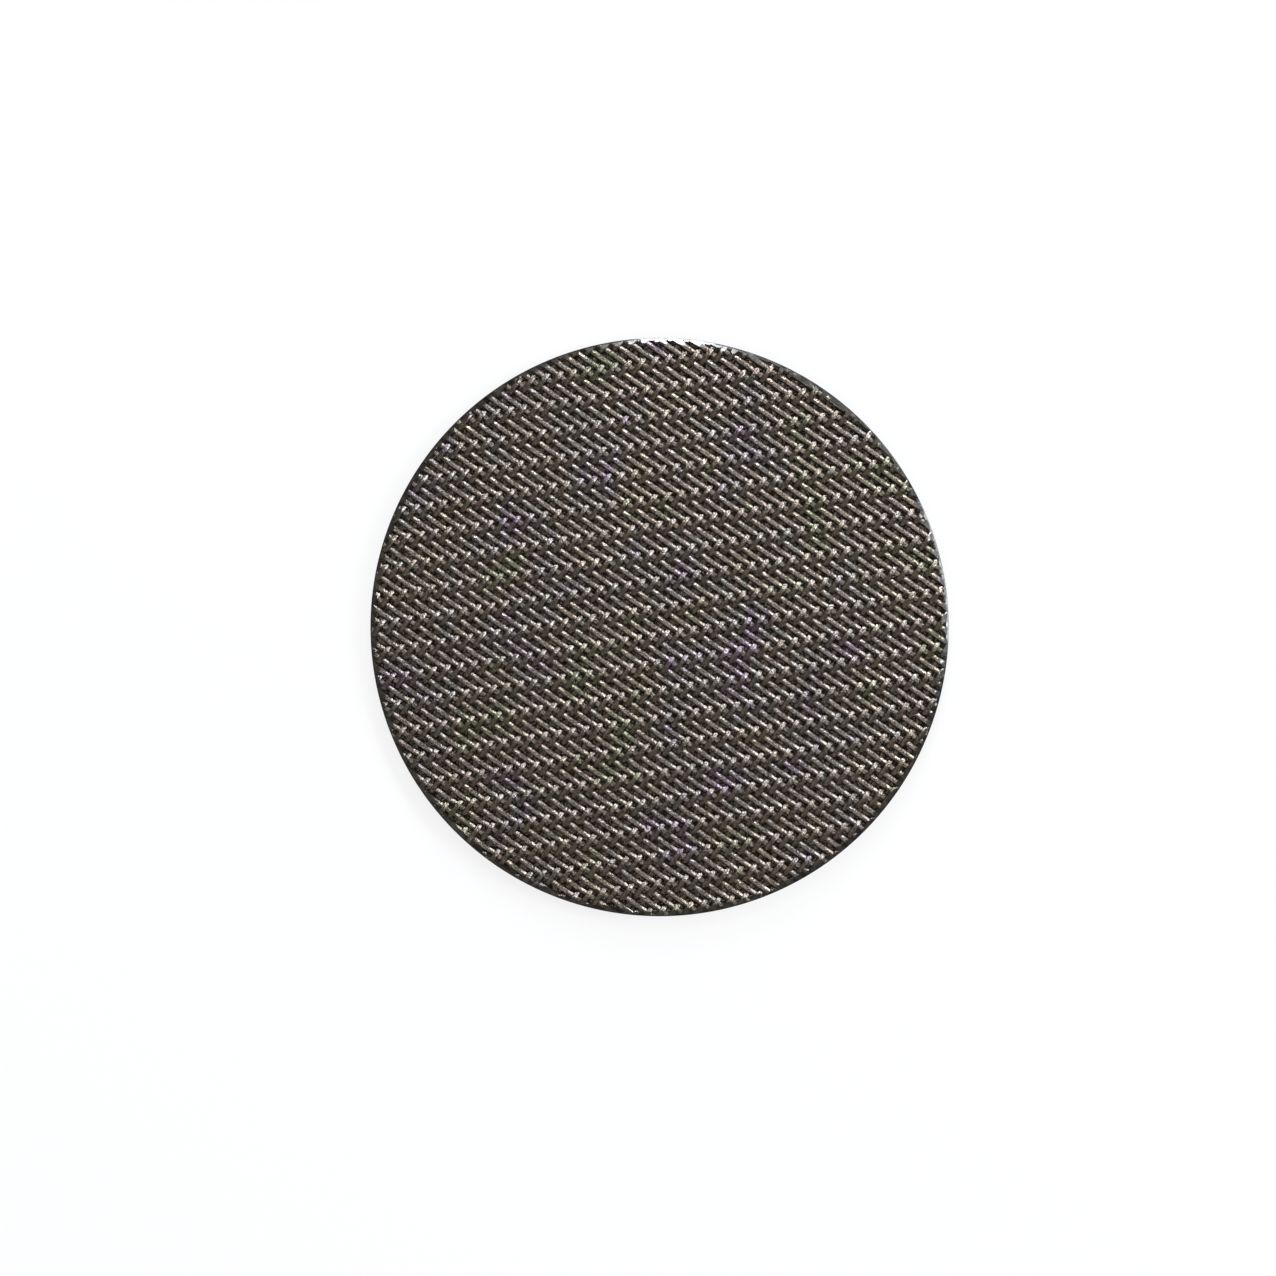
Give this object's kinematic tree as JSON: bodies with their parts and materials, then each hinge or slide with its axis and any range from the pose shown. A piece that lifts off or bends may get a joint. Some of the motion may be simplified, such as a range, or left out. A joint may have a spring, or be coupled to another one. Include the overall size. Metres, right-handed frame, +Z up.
{
  "type": "wire mesh filter disc",
  "caption": "Flat round filter disc of bonded twill-woven steel wire with a ground edge, laid in a basket to spread or strain what flows through.",
  "frame": {"origin": "centre of the underside, on the surface the disc lies on", "axes": "+Z up through the thickness, +X to the right and +Y to the top of the picture, which looks straight down"},
  "size_m": [0.0584, 0.0584, 0.0017],
  "materials": {
    "steel_wire": "bare stainless steel wire, warm dark grey with bright crests"
  },
  "bodies": {
    "root": {"mesh_disc": "steel_wire"}
  },
  "joints": []
}
